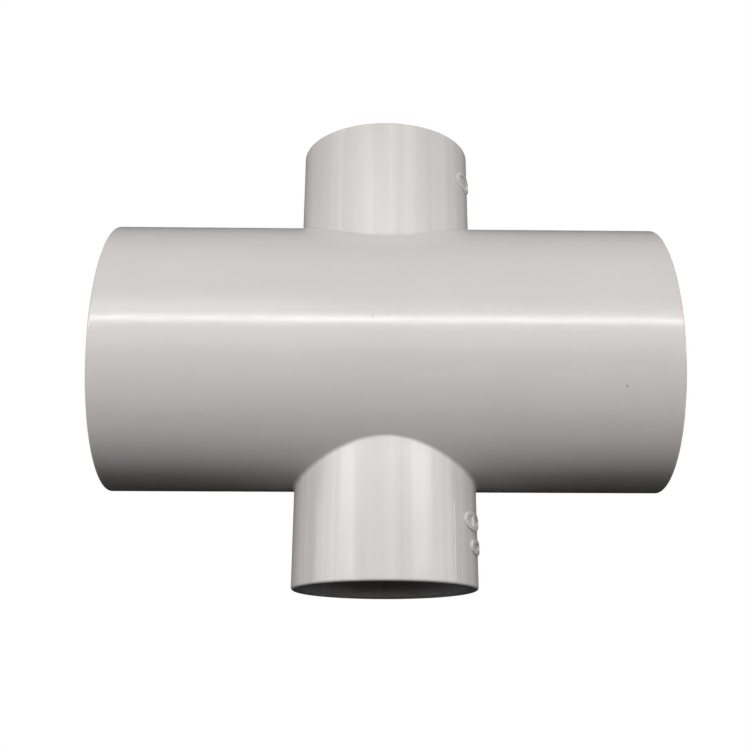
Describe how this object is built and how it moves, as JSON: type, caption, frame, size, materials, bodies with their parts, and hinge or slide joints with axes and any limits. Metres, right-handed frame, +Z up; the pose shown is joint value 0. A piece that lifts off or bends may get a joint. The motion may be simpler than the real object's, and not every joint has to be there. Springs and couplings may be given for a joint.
{
  "type": "cross fitting",
  "caption": "Reducing cross pipe fitting: a wide straight run with plain socket ends, crossed at its middle by smaller socket branches in line.",
  "frame": {"origin": "where the run's and the branches' centre lines cross, which is the centre of the bounding box; the fitting lies on its side, on the lowest line of the run", "axes": "+X along the run to its right end, -Y along the front branch and +Y along the rear branch, +Z up"},
  "size_m": [0.144, 0.12, 0.0704],
  "materials": {
    "body_grey": "moulded light warm grey PVC, semi-gloss, smooth",
    "branch_grey": "the same grey PVC, with faint draw marks along the branch",
    "raised_mark_grey": "the same grey PVC, polished on its raised face"
  },
  "bodies": {
    "root": {"left_run_socket": "body_grey", "right_run_socket": "body_grey", "centre_body": "body_grey", "front_branch_hub": "branch_grey", "rear_branch_hub": "branch_grey", "rear_oval_mark": "raised_mark_grey", "front_large_oval_mark": "raised_mark_grey", "front_small_oval_mark": "raised_mark_grey"}
  },
  "joints": []
}
